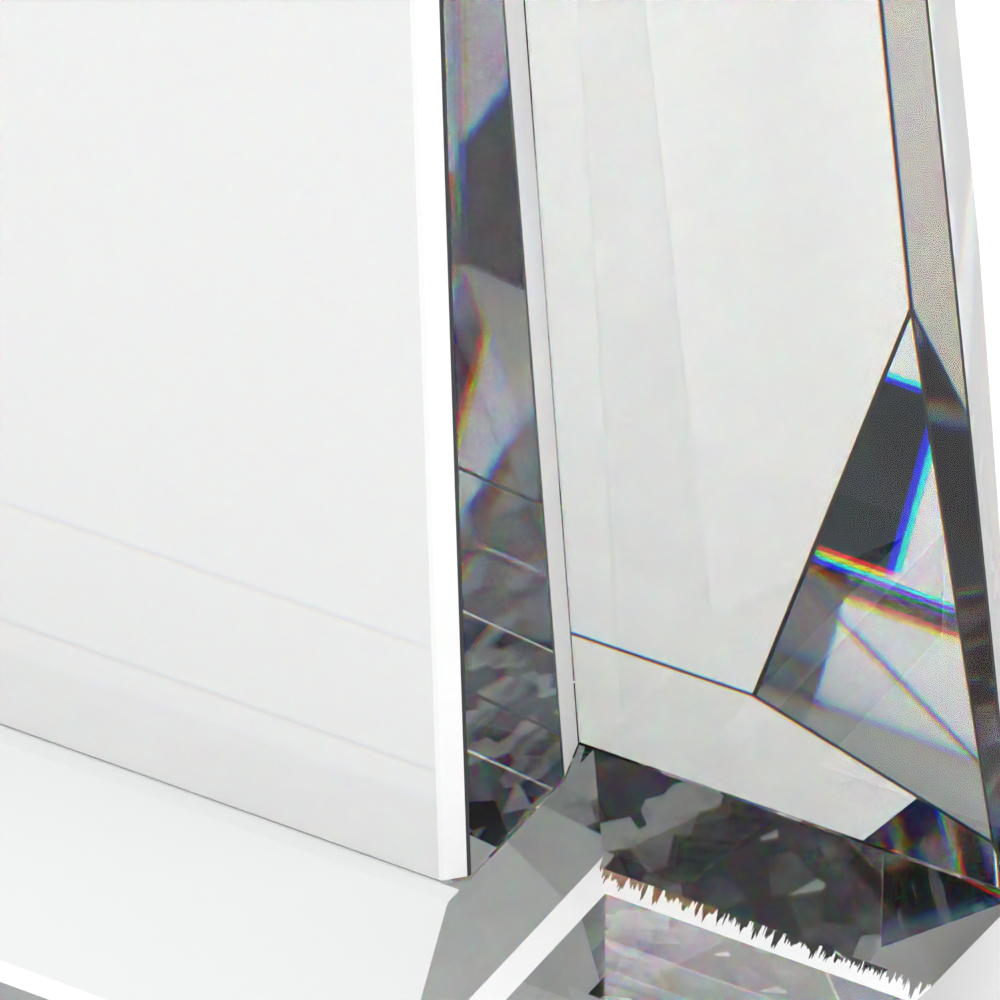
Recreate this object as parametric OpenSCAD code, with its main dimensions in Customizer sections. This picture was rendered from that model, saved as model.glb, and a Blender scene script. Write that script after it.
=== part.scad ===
// Crystal award: a faceted front block bonded to a wide tapered rear prism, both standing on a stepped
// crystal base with bevelled top edges, over a dark pad and a pale one. Millimetres, +Z up, front to -Y.

/* [Rear prism] */
// Width of the rear prism along its front foot
rear_w = 152; // [120:1:180]
// Depth of the rear prism
rear_d = 25; // [20:1:32]
// Height of the rear prism above the base
rear_h = 172; // [150:1:200]
// Lean of the rear prism's end faces, in degrees from vertical
rear_lean = 7.2; // [4:0.1:9]
// Angle in plan of the rear prism's end faces from straight back
rear_plan = 27; // [20:0.5:45]
// Rise of the two roof facets towards the ridge, in degrees
roof_rise = 24; // [10:1:35]

/* [Back facets] */
// Height on the end edge where the large back corner facet stops
facet_h = 44; // [30:1:60]
// Distance from the middle where that facet meets the foot
facet_x = 44; // [30:1:50]
// Depth that the facet takes off the foot's back corner
facet_cut = 15; // [8:1:20]

/* [Front block] */
// Width of the front block at its foot
front_w = 72; // [60:1:80]
// Depth of the front block at its foot
front_d = 22; // [18:1:26]
// Height of the front block's back edge above the base
front_h = 138; // [110:1:145]
// Lean of its front and side faces, in degrees
front_lean = 4.1; // [2:0.1:6]
// Slope of its top towards the front, in degrees
front_top_slope = 32; // [15:1:40]
// Width of the bevel on its two front upright edges
front_bevel = 2.4; // [1:0.1:4]
// Width of the shallow facet on its two rear upright edges
rear_facet = 5; // [2:0.5:8]
// Angle in plan between that facet and the side face
rear_facet_angle = 16; // [8:1:25]

/* [Base] */
// Height of the crystal base
base_h = 15; // [12:1:24]
// Width of the bevel in front of the rear prism
bevel_front = 12; // [8:1:16]
// Width of the bevel beside the front block
bevel_side = 8; // [5:1:12]
// Drop of every bevel
bevel_drop = 3; // [1:0.5:5]
// Flat ledge in front of the front block
ledge = 2; // [1:0.5:12]
// Width of the long bevel in front of that ledge
bevel_apron = 23; // [12:1:26]
// Width that the ground arris takes off each wall and bevel, where they meet
base_arris = 1; // [0.5:0.1:2]
// Inward slope of the base's end walls, in degrees
undercut = 38; // [0:1:42]

/* [Bond and pad] */
// Thickness of each clear adhesive film
bond_t = 0.1; // [0.05:0.05:0.2]
// Thickness of the pad under the base
pad_t = 1.2; // [0.8:0.1:3]
// Thickness of the pad's adhesive sheet
pad_glue_t = 0.2; // [0.1:0.1:0.4]
// Distance that the pad stands in from the base's edge
pad_inset = 0; // [0:0.5:3]

// Distance that the pale pad stands in from the narrow part's sides, behind the step
pale_side = 5; // [0:0.5:10]

/* [Hidden] */
big = 600;
crystal = [0.86, 0.89, 0.9];
film = [0.9, 0.92, 0.88];

// Heights of the stack, from the resting face upwards.
z_glue = pad_t;
z_base = z_glue + pad_glue_t;
z_top = z_base + base_h;
z_crystal = z_top + bond_t;
z_arris = z_top - bevel_drop - base_arris;

// The rear prism's front face is at y_face, and the whole award is centred on Y = 0.
reach = front_d + ledge + bevel_apron;
y_face = (reach - rear_d) / 2;
y_back = y_face + rear_d;
y_bond = y_face - bond_t;
y_foot = y_bond - front_d;
y_arm = y_face - bevel_front;
y_base_front = y_face - reach;

rear_half = rear_w / 2;
front_half = front_w / 2;
arm_half = front_half + bevel_side;

// Keeps what lies behind the plane through point p whose outward normal is n.
module cut_plane(p, n) {
    azimuth = atan2(n[1], n[0]);
    polar = atan2(norm([n[0], n[1]]), n[2]);
    difference() {
        children();
        translate(p) rotate([0, polar, azimuth])
            translate([-big, -big, 0]) cube([2 * big, 2 * big, big]);
    }
}

// Makes the same cut on the right and on the left.
module cut_both(p, n) {
    cut_plane(p, n) cut_plane([-p[0], p[1], p[2]], [-n[0], n[1], n[2]]) children();
}

// A box between two corners, from -x to x.
module block(x, y_low, y_high, z_low, z_high) {
    translate([-x, y_low, z_low]) cube([2 * x, y_high - y_low, z_high - z_low]);
}

// The outward normal of the tapered end faces, which meet the front face in the visible outer edges.
function end_normal() = [cos(rear_plan), sin(rear_plan), tan(rear_lean) * cos(rear_plan)];

// The back corner facet passes through the foot's back edge, the end face's foot and the upright back edge.
function facet_normal() = let (
    foot = [facet_x, y_back, z_crystal],
    deep = [rear_half - (rear_d - facet_cut) * tan(rear_plan), y_back - facet_cut, z_crystal],
    high = [rear_half - rear_d * tan(rear_plan) - facet_h * tan(rear_lean), y_back, z_crystal + facet_h]
) cross(high - foot, deep - foot);

// The rear prism's upright faces, cut from its own blank or from its adhesive film.
module rear_cuts() {
    cut_both([facet_x, y_back, z_crystal], facet_normal())
    cut_both([rear_half, y_face, z_crystal], end_normal())
        children();
}

// The front block's upright faces, cut from its own blank or from its adhesive films.
module front_cuts() {
    bevel_x = front_half - front_bevel / sqrt(2);
    facet_foot = front_half - rear_facet * sin(rear_facet_angle);
    cut_both([bevel_x, y_foot, z_crystal], [1, -1, 2 * tan(front_lean)])
    cut_both([facet_foot, y_bond, z_crystal],
        [cos(rear_facet_angle), sin(rear_facet_angle), sin(front_lean)])
    cut_both([front_half, y_foot, z_crystal], [cos(front_lean), 0, sin(front_lean)])
    cut_plane([0, y_foot, z_crystal], [0, -cos(front_lean), sin(front_lean)])
        children();
}

module rear_prism() {
    z_ridge = z_crystal + rear_h;
    color(crystal)
    cut_both([0, y_face, z_ridge], [sin(roof_rise), 0, cos(roof_rise)])
    rear_cuts()
        block(rear_half, y_face, y_back, z_crystal, z_ridge);
}

module front_block() {
    z_high = z_crystal + front_h;
    color(crystal)
    cut_plane([0, y_bond, z_high], [0, -sin(front_top_slope), cos(front_top_slope)])
    front_cuts()
        block(front_half, y_foot, y_bond, z_crystal, z_high);
}

// The wide part of the base, under the rear prism, with a bevel in front of it and undercut ends.
module base_rear() {
    cut_plane([0, y_arm, z_arris], [0, -1, 1])
    cut_plane([0, y_face, z_top], [0, -bevel_drop, bevel_front])
    cut_both([rear_half, y_face, z_top], [cos(undercut), 0, -sin(undercut)])
    cut_both([rear_half, y_face, z_top], [cos(rear_plan), sin(rear_plan), -tan(undercut) * cos(rear_plan)])
        block(rear_half, y_arm, y_back, z_base, z_top);
}

// The narrow part of the base, under the front block, bevelled at its sides and in a long apron in front.
module base_front() {
    cut_plane([0, y_base_front, z_arris], [0, -1, 1])
    cut_both([arm_half, 0, z_arris], [1, 0, 1])
    cut_plane([0, y_foot - ledge + bond_t, z_top], [0, -bevel_drop, bevel_apron])
    cut_both([front_half, 0, z_top], [bevel_drop, 0, bevel_side])
        block(arm_half, y_base_front, y_face + 5, z_base, z_top);
}

module base_block() {
    color(crystal)
    union() {
        base_rear();
        base_front();
    }
}

module bond_front_to_rear() {
    color(film)
    front_cuts()
        block(front_half, y_bond, y_face, z_crystal, z_crystal + front_h);
}

module bond_front_to_base() {
    color(film)
    front_cuts()
        block(front_half, y_foot, y_bond, z_top, z_crystal);
}

module bond_rear_to_base() {
    color(film)
    rear_cuts()
        block(rear_half, y_face, y_back, z_top, z_crystal);
}

// The base's underside in front of the step, less the inset, with a tongue back to under the step's foot.
module front_outline() {
    half = arm_half - pad_inset;
    tongue = arm_half - pale_side;
    translate([-half, y_base_front + pad_inset])
        square([2 * half, y_arm - y_base_front - pad_inset]);
    translate([-tongue, y_arm - pad_inset])
        square([2 * tongue, bevel_front + pad_inset]);
}

// The base's underside behind the step, less the inset and the room for that tongue.
module rear_outline() {
    low_half = rear_half - base_h * tan(undercut) - pad_inset;
    back_half = low_half - rear_d * tan(rear_plan);
    difference() {
        polygon([[-low_half, y_arm + pad_inset], [low_half, y_arm + pad_inset], [low_half, y_face],
            [back_half, y_back - pad_inset], [-back_half, y_back - pad_inset], [-low_half, y_face]]);
        front_outline();
    }
}

module pad_adhesive() {
    color("gainsboro")
    translate([0, 0, z_glue])
    linear_extrude(pad_glue_t) {
        rear_outline();
        front_outline();
    }
}

module rear_pad() {
    color([0.09, 0.1, 0.11]) linear_extrude(pad_t) rear_outline();
}

module front_pad() {
    color([0.6, 0.62, 0.64]) linear_extrude(pad_t) front_outline();
}

rear_prism();
front_block();
base_block();
bond_front_to_rear();
bond_front_to_base();
bond_rear_to_base();
pad_adhesive();
rear_pad();
front_pad();
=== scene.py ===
"""Looks of the crystal award: polished optical crystal over a dark pad and a pale one, in a white studio."""

import math

import bpy
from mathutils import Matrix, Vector


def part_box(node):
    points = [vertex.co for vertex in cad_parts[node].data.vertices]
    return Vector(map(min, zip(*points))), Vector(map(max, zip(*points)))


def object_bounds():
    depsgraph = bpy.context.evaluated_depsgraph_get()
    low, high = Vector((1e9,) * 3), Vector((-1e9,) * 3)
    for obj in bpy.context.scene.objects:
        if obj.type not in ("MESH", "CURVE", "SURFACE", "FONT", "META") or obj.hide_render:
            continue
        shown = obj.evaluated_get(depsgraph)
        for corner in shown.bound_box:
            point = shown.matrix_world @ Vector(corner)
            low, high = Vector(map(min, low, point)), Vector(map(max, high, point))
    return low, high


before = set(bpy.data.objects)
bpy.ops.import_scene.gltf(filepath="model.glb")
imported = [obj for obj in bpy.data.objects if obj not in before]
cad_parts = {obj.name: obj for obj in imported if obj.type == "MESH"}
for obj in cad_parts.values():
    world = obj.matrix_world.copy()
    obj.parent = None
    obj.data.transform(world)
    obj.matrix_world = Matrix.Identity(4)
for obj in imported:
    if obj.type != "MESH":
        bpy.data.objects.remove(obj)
cad_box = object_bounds()
scene = bpy.context.scene

MM = 0.001
RED, GREEN, BLUE = 0.84, 0.845, 0.845
# How much of each colour passes a face, with its index, so that the prisms split white light.
DISPERSION = [((RED, 0, 0), 1.508), ((0, GREEN, 0), 1.52), ((0, 0, BLUE), 1.534)]
# Width of the narrow polished arrises, and the smallest turn between two faces that gets one.
ARRIS = 0.22 * MM
ARRIS_ANGLE = math.radians(8)
# Corners nearer than this are one corner, and faces that turn less than this are one face.
CORNER_SLACK = 0.002 * MM
FLAT_ANGLE = math.radians(0.5)
# How deep behind the front face the arrises are pale, and how deep the film's edge under it is.
PALE_DEPTH = 0.6 * MM
FILM_EDGE_DEPTH = 0.5 * MM
# Sand-blasted areas scatter the light, so they are mostly a white diffuse surface over the crystal.
SATIN_SHARE = 0.85
SATIN_COLOUR = (0.73, 0.735, 0.735)
APRON_COLOUR = (0.79, 0.795, 0.795)
# Painted reflection: the colour of the dark lines painted on the polished arrises, for the dark surroundings
# that they refract.
PAINTED_DARK_EDGE = (0.02, 0.022, 0.025)
# Narrow polished facets get a painted highlight, a white diffuse surface over the crystal where they would
# catch the studio's light; the ground arrises get the same white as their frosted finish.
HIGHLIGHT_AND_FROST_SHARE = 0.85
HIGHLIGHT_AND_FROST_COLOUR = (0.97, 0.97, 0.97)
BOND_SLACK = 0.03 * MM
# Parts of the unit normal by which the crystals' faces are told apart.
FRONT_FACE_Y = -0.95
FRONT_BEVEL_Y = (-0.8, -0.6)
REAR_STRIP_Y = (0.2, 0.35)
GROUND_ARRIS_Z = (0.6, 0.8)
LEVEL_Z = 0.9
SIDEWAYS_X = 0.1
# The ground arris is chipped by a noise that is this much coarser across it than along it.
CHIP_SCALE = 1500
CHIP_STRETCH = (1, 0.1, 0.1)
CHIP_BOTTOM = 0.3
CHIP_RISE = 0.35
# Pads: patches in each metre, and the share of their shade that differs from patch to patch.
PATCH_SCALE = 260
DARK_SPREAD = 0.6
PALE_SPREAD = 0.2
BLOTCH_SCALE = 160
FIBRE_SCALE = 900
FIBRE_DEPTH = 0.3 * MM
DARK_PAD = [(0.3, (0.002, 0.002, 0.002)), (0.52, (0.012, 0.012, 0.013)), (0.6, (0.1, 0.1, 0.1)),
            (0.72, (0.6, 0.61, 0.6))]
PALE_PAD = [(0.2, (0.72, 0.74, 0.75)), (0.5, (0.82, 0.84, 0.85)), (0.8, (0.9, 0.91, 0.92))]
WORLD_STRENGTH = 1.25
FLOOR_COLOUR = (0.98, 0.98, 0.98)
# The black flag stands low beside the base: its gap to the base, its near and far ends and its height.
FLAG_GAP = 6 * MM
FLAG_NEAR = -31 * MM
FLAG_FAR = 50 * MM
FLAG_HEIGHT = 20 * MM
VIEW_AZIMUTH = math.radians(30.2)
VIEW_ELEVATION = math.radians(35.7)
VIEW_DISTANCE = 0.9
# The picture is a close crop: the width that it shows, where the camera looks.
VIEW_WIDTH = 83.3 * MM
SENSOR_MM = 36.0
# How far the camera's aim stands left of and above the foot of the step between the two crystals.
AIM_LEFT = 7.8 * MM
AIM_ABOVE = 20.8 * MM


# ---------------------------------------------------------------- node helpers


def new_material(name):
    material = bpy.data.materials.new(name)
    material.use_nodes = True
    tree = material.node_tree
    tree.nodes.clear()
    output = tree.nodes.new("ShaderNodeOutputMaterial")
    return material, tree, output


def link(tree, source, target):
    tree.links.new(source, target)


def maths(tree, operation, a, b=None):
    made = tree.nodes.new("ShaderNodeMath")
    made.operation = operation
    for socket, value in zip(made.inputs, (a, b)):
        if value is None:
            continue
        if isinstance(value, (int, float)):
            socket.default_value = value
        else:
            tree.links.new(value, socket)
    return made.outputs[0]


def ramp(tree, factor, stops):
    made = tree.nodes.new("ShaderNodeValToRGB")
    elements = made.color_ramp.elements
    while len(elements) < len(stops):
        elements.new(0.5)
    for element, (place, colour) in zip(elements, stops):
        element.position = place
        element.color = (*colour, 1)
    tree.links.new(factor, made.inputs[0])
    return made.outputs[0]


def noise(tree, coordinates, scale, detail, roughness=0.6):
    made = tree.nodes.new("ShaderNodeTexNoise")
    made.inputs["Scale"].default_value = scale
    made.inputs["Detail"].default_value = detail
    made.inputs["Roughness"].default_value = roughness
    tree.links.new(coordinates, made.inputs["Vector"])
    return made.outputs["Fac"]


# ---------------------------------------------------------------- materials


def planes_of(name):
    """The planes of a convex node, as (outward normal, distance)."""
    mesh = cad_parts[name].data
    planes = []
    for face in mesh.polygons:
        normal = face.normal.copy()
        distance = normal.dot(face.center)
        if not any((normal - n).length < 1e-3 and abs(distance - d) < 1e-5 for n, d in planes):
            planes.append((normal, distance))
    return planes


def inside(tree, position, planes, slack):
    """1 where the position lies inside all the planes, and 0 outside."""
    mask = None
    for normal, distance in planes:
        along = tree.nodes.new("ShaderNodeVectorMath")
        along.operation = "DOT_PRODUCT"
        link(tree, position, along.inputs[0])
        along.inputs[1].default_value = normal
        hit = maths(tree, "LESS_THAN", along.outputs["Value"], distance + slack)
        mask = hit if mask is None else maths(tree, "MULTIPLY", mask, hit)
    return mask


def crystal(name, films, ground=()):
    """Polished crystal. Where it touches one of the films it bends no light.

    Each entry of ground is (mask function, share, colour): an area that is partly a white diffuse surface.
    Satin and ground areas scatter light like that, and on narrow polished facets the white is a painted
    highlight.
    """
    material, tree, output = new_material(name)
    geometry = tree.nodes.new("ShaderNodeNewGeometry")
    position = geometry.outputs["Position"]
    shader = None
    for colour, ior in DISPERSION:
        glass = tree.nodes.new("ShaderNodeBsdfGlass")
        glass.inputs["Color"].default_value = (*colour, 1)
        glass.inputs["IOR"].default_value = ior
        glass.inputs["Roughness"].default_value = 0.0
        if shader is None:
            shader = glass.outputs[0]
        else:
            both = tree.nodes.new("ShaderNodeAddShader")
            link(tree, shader, both.inputs[0])
            link(tree, glass.outputs[0], both.inputs[1])
            shader = both.outputs[0]
    for mask, share, colour in ground:
        white_diffuse = tree.nodes.new("ShaderNodeBsdfDiffuse")
        white_diffuse.inputs["Color"].default_value = (*colour, 1)
        frosted = tree.nodes.new("ShaderNodeMixShader")
        link(tree, maths(tree, "MULTIPLY", mask(tree, geometry), share), frosted.inputs[0])
        link(tree, shader, frosted.inputs[1])
        link(tree, white_diffuse.outputs[0], frosted.inputs[2])
        shader = frosted.outputs[0]
    bonded = None
    for film in films:
        hit = inside(tree, position, planes_of(film), BOND_SLACK)
        bonded = hit if bonded is None else maths(tree, "MAXIMUM", bonded, hit)
    clear = tree.nodes.new("ShaderNodeBsdfTransparent")
    mix = tree.nodes.new("ShaderNodeMixShader")
    link(tree, bonded, mix.inputs[0])
    link(tree, shader, mix.inputs[1])
    link(tree, clear.outputs[0], mix.inputs[2])
    link(tree, mix.outputs[0], output.inputs["Surface"])
    return material


def split(tree, vector):
    parts = tree.nodes.new("ShaderNodeSeparateXYZ")
    link(tree, vector, parts.inputs[0])
    return parts.outputs


def between(tree, value, low, high):
    """1 where the value lies between low and high, and 0 elsewhere."""
    above = maths(tree, "GREATER_THAN", value, low)
    return maths(tree, "MULTIPLY", above, maths(tree, "LESS_THAN", value, high))


def front_face(tree, geometry):
    """The blank engraving face: the front block's leaning front."""
    return maths(tree, "LESS_THAN", split(tree, geometry.outputs["True Normal"])["Y"], FRONT_FACE_Y)


def front_bevel_highlights(tree, geometry):
    """The two bevels beside the front face, where a highlight is painted."""
    return between(tree, split(tree, geometry.outputs["True Normal"])["Y"], *FRONT_BEVEL_Y)


def rear_strip_highlights(tree, geometry):
    """The narrow facets where the front block's sides meet the rear prism, where a highlight is painted."""
    return between(tree, split(tree, geometry.outputs["True Normal"])["Y"], *REAR_STRIP_Y)


def apron(tree, geometry):
    """The base's front ledge and long bevel, in front of the front block."""
    facing = split(tree, geometry.outputs["True Normal"])
    front = maths(tree, "LESS_THAN", split(tree, geometry.outputs["Position"])["Y"], step_low.y + 0.05 * MM)
    plain = maths(tree, "LESS_THAN", maths(tree, "ABSOLUTE", facing["X"]), SIDEWAYS_X)
    level = maths(tree, "GREATER_THAN", facing["Z"], LEVEL_Z)
    return maths(tree, "MULTIPLY", maths(tree, "MULTIPLY", front, plain), level)


def base_arrises(tree, geometry):
    """The ground arrises under the base's bevels. The one before the rear prism is chipped into spikes."""
    facing = split(tree, geometry.outputs["True Normal"])
    level = between(tree, facing["Z"], *GROUND_ARRIS_Z)
    stretched = tree.nodes.new("ShaderNodeVectorMath")
    stretched.operation = "MULTIPLY"
    link(tree, geometry.outputs["Position"], stretched.inputs[0])
    stretched.inputs[1].default_value = CHIP_STRETCH
    spikes = noise(tree, stretched.outputs["Vector"], CHIP_SCALE, 3, 0.7)
    height = split(tree, geometry.outputs["Position"])["Z"]
    height = maths(tree, "DIVIDE", maths(tree, "SUBTRACT", height, arris_low), arris_high - arris_low)
    reach = maths(tree, "ADD", maths(tree, "MULTIPLY", height, CHIP_RISE), CHIP_BOTTOM)
    sideways = maths(tree, "GREATER_THAN", maths(tree, "ABSOLUTE", facing["X"]), SIDEWAYS_X)
    in_front = maths(tree, "LESS_THAN", split(tree, geometry.outputs["Position"])["Y"], step_low.y)
    smooth = maths(tree, "MAXIMUM", sideways, in_front)
    chipped = maths(tree, "GREATER_THAN", spikes, reach)
    return maths(tree, "MULTIPLY", level, maths(tree, "MAXIMUM", smooth, chipped))


def clear_film():
    material, tree, output = new_material("clear_adhesive")
    clear = tree.nodes.new("ShaderNodeBsdfTransparent")
    clear.inputs[0].default_value = (0.99, 0.995, 0.985, 1)
    # Its edge under the front face is frosted together with that face.
    white_diffuse = tree.nodes.new("ShaderNodeBsdfDiffuse")
    white_diffuse.inputs["Color"].default_value = (*APRON_COLOUR, 1)
    mix = tree.nodes.new("ShaderNodeMixShader")
    geometry = tree.nodes.new("ShaderNodeNewGeometry")
    place = split(tree, geometry.outputs["Position"])
    foremost = maths(tree, "LESS_THAN", place["Y"], step_low.y + FILM_EDGE_DEPTH)
    link(tree, maths(tree, "MULTIPLY", front_face(tree, geometry), foremost), mix.inputs[0])
    link(tree, clear.outputs[0], mix.inputs[1])
    link(tree, white_diffuse.outputs[0], mix.inputs[2])
    link(tree, mix.outputs[0], output.inputs["Surface"])
    return material


def felt(name, stops, spread):
    """Felted pad. Its fibres lie in flat patches, each with its own shade."""
    material, tree, output = new_material(name)
    coordinates = tree.nodes.new("ShaderNodeTexCoord").outputs["Object"]
    shader = tree.nodes.new("ShaderNodeBsdfPrincipled")
    patches = tree.nodes.new("ShaderNodeTexVoronoi")
    patches.inputs["Scale"].default_value = PATCH_SCALE
    patches.inputs["Randomness"].default_value = 1.0
    link(tree, coordinates, patches.inputs["Vector"])
    shade = split(tree, patches.outputs["Color"])["X"]
    blotch = maths(tree, "MULTIPLY", noise(tree, coordinates, BLOTCH_SCALE, 6, 0.7), 1 - spread)
    shade = maths(tree, "ADD", blotch, maths(tree, "MULTIPLY", shade, spread))
    link(tree, ramp(tree, shade, stops), shader.inputs["Base Color"])
    shader.inputs["Roughness"].default_value = 0.9
    bump = tree.nodes.new("ShaderNodeBump")
    bump.inputs["Strength"].default_value = 0.6
    bump.inputs["Distance"].default_value = FIBRE_DEPTH
    link(tree, noise(tree, coordinates, FIBRE_SCALE, 3), bump.inputs["Height"])
    link(tree, bump.outputs[0], shader.inputs["Normal"])
    link(tree, shader.outputs[0], output.inputs["Surface"])
    return material


def painted_edge_line():
    """Painted reflection on the polished edges: dark lines that stand in for the dark surroundings which
    they refract, but pale round the satin front.
    """
    material, tree, output = new_material("painted_edge_line")
    shader = tree.nodes.new("ShaderNodeBsdfPrincipled")
    position = tree.nodes.new("ShaderNodeNewGeometry").outputs["Position"]
    front, distance = min(planes_of("front_block"), key=lambda plane: plane[0].y)
    along = tree.nodes.new("ShaderNodeVectorMath")
    along.operation = "DOT_PRODUCT"
    link(tree, position, along.inputs[0])
    along.inputs[1].default_value = front
    pale = maths(tree, "GREATER_THAN", along.outputs["Value"], distance - PALE_DEPTH)
    link(tree, ramp(tree, pale, [(0.0, PAINTED_DARK_EDGE), (1.0, APRON_COLOUR)]), shader.inputs["Base Color"])
    shader.inputs["Roughness"].default_value = 0.4
    link(tree, shader.outputs[0], output.inputs["Surface"])
    return material


def glue():
    """The pads' thin clear adhesive sheet."""
    material, tree, output = new_material("pad_adhesive")
    clear = tree.nodes.new("ShaderNodeBsdfTransparent")
    link(tree, clear.outputs[0], output.inputs["Surface"])
    return material


def set_material(names, material):
    for name in names:
        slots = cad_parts[name].data.materials
        slots.clear()
        slots.append(material)


top_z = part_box("base_block")[1].z
step_low, step_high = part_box("front_block")
face_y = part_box("rear_prism")[0].y
# The levels between which the base's ground arrises lie, from the places where their faces are.
base_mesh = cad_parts["base_block"].data
arris_faces = [f for f in base_mesh.polygons if GROUND_ARRIS_Z[0] < f.normal.z < GROUND_ARRIS_Z[1]]
arris_levels = [base_mesh.vertices[v].co.z for f in arris_faces for v in f.vertices]
arris_low, arris_high = min(arris_levels), max(arris_levels)

set_material(["rear_prism"], crystal("crystal_rear", ["bond_front_to_rear", "bond_rear_to_base"]))
# The front face is satin. Its two bevels and the rear strips are polished and get a painted highlight.
set_material(["front_block"],
             crystal("crystal_front", ["bond_front_to_rear", "bond_front_to_base"],
                     [(front_face, SATIN_SHARE, SATIN_COLOUR), (front_bevel_highlights, HIGHLIGHT_AND_FROST_SHARE, HIGHLIGHT_AND_FROST_COLOUR),
                      (rear_strip_highlights, HIGHLIGHT_AND_FROST_SHARE, HIGHLIGHT_AND_FROST_COLOUR)]))
set_material(["base_block"],
             crystal("crystal_base", ["bond_front_to_base", "bond_rear_to_base"],
                     [(apron, 1.0, APRON_COLOUR), (base_arrises, HIGHLIGHT_AND_FROST_SHARE, HIGHLIGHT_AND_FROST_COLOUR)]))
set_material(["bond_front_to_rear", "bond_front_to_base", "bond_rear_to_base"], clear_film())
set_material(["rear_pad"], felt("dark_pad", DARK_PAD, DARK_SPREAD))
set_material(["front_pad"], felt("pale_pad", PALE_PAD, PALE_SPREAD))
set_material(["pad_adhesive"], glue())

def arrises(name, painted_edge_material):
    """Narrow polished arrises on a crystal's edges, once its corners are joined and its faces made whole.
    They wear the painted dark edge lines.
    """
    crystal_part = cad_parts[name]
    crystal_part.data.materials.append(painted_edge_material)
    for face in crystal_part.data.polygons:
        face.use_smooth = False
    weld = crystal_part.modifiers.new("weld", "WELD")
    weld.merge_threshold = CORNER_SLACK
    flat = crystal_part.modifiers.new("flat", "DECIMATE")
    flat.decimate_type = "DISSOLVE"
    flat.angle_limit = FLAT_ANGLE
    arris = crystal_part.modifiers.new("arris", "BEVEL")
    arris.width = ARRIS
    arris.segments = 1
    arris.limit_method = "ANGLE"
    arris.angle_limit = ARRIS_ANGLE
    arris.material = 1


# Painted dark lines on the arrises of both crystals.
painted_dark_edge = painted_edge_line()
for name in ("rear_prism", "front_block"):
    arrises(name, painted_dark_edge)

# ---------------------------------------------------------------- studio


def studio_floor():
    half = 3.0
    mesh = bpy.data.meshes.new("studio_floor")
    corners = [(-half, -half, 0), (half, -half, 0), (half, half, 0), (-half, half, 0)]
    mesh.from_pydata(corners, [], [(0, 1, 2, 3)])
    floor = bpy.data.objects.new("studio_floor", mesh)
    scene.collection.objects.link(floor)
    material, tree, output = new_material("studio_floor")
    shader = tree.nodes.new("ShaderNodeBsdfPrincipled")
    shader.inputs["Base Color"].default_value = (*FLOOR_COLOUR, 1)
    shader.inputs["Roughness"].default_value = 0.9
    link(tree, shader.outputs[0], output.inputs["Surface"])
    mesh.materials.append(material)


def black_flag():
    """A black card on the award's left. Only the crystal shows it, and it casts no shadow."""
    mesh = bpy.data.meshes.new("black_flag")
    side = cad_box[0][0] - FLAG_GAP
    corners = [(side, FLAG_NEAR, 0), (side, FLAG_FAR, 0)]
    corners += [(side, FLAG_FAR, FLAG_HEIGHT), (side, FLAG_NEAR, FLAG_HEIGHT)]
    mesh.from_pydata(corners, [], [(0, 1, 2, 3)])
    flag = bpy.data.objects.new("black_flag", mesh)
    scene.collection.objects.link(flag)
    material, tree, output = new_material("black_flag")
    shader = tree.nodes.new("ShaderNodeBsdfDiffuse")
    shader.inputs["Color"].default_value = (0.01, 0.025, 0.035, 1)
    link(tree, shader.outputs[0], output.inputs["Surface"])
    mesh.materials.append(material)
    flag.visible_camera = False
    flag.visible_diffuse = False
    flag.visible_shadow = False


def studio_world():
    world = bpy.data.worlds.new("studio")
    scene.world = world
    world.use_nodes = True
    tree = world.node_tree
    tree.nodes.clear()
    output = tree.nodes.new("ShaderNodeOutputWorld")
    background = tree.nodes.new("ShaderNodeBackground")
    background.inputs["Color"].default_value = (1, 1, 1, 1)
    background.inputs["Strength"].default_value = WORLD_STRENGTH
    tree.links.new(background.outputs[0], output.inputs["Surface"])


def studio_camera():
    right = Vector((math.cos(VIEW_AZIMUTH), math.sin(VIEW_AZIMUTH), 0))
    away = Vector((math.sin(VIEW_AZIMUTH), -math.cos(VIEW_AZIMUTH), 0)) * math.cos(VIEW_ELEVATION)
    away.z = math.sin(VIEW_ELEVATION)
    up = away.cross(right)
    step_foot = Vector((step_high.x, face_y, top_z))
    target = step_foot - right * AIM_LEFT + up * AIM_ABOVE
    data = bpy.data.cameras.new("camera")
    data.sensor_width = SENSOR_MM
    data.lens = SENSOR_MM * VIEW_DISTANCE / VIEW_WIDTH
    data.clip_end = 50
    camera = bpy.data.objects.new("camera", data)
    scene.collection.objects.link(camera)
    camera.location = target + away * VIEW_DISTANCE
    camera.rotation_euler = (-away).to_track_quat("-Z", "Y").to_euler()
    scene.camera = camera


studio_floor()
black_flag()
studio_world()
studio_camera()

scene.view_settings.view_transform = "Standard"
scene.cycles.max_bounces = 32
scene.cycles.transmission_bounces = 24
scene.cycles.transparent_max_bounces = 32
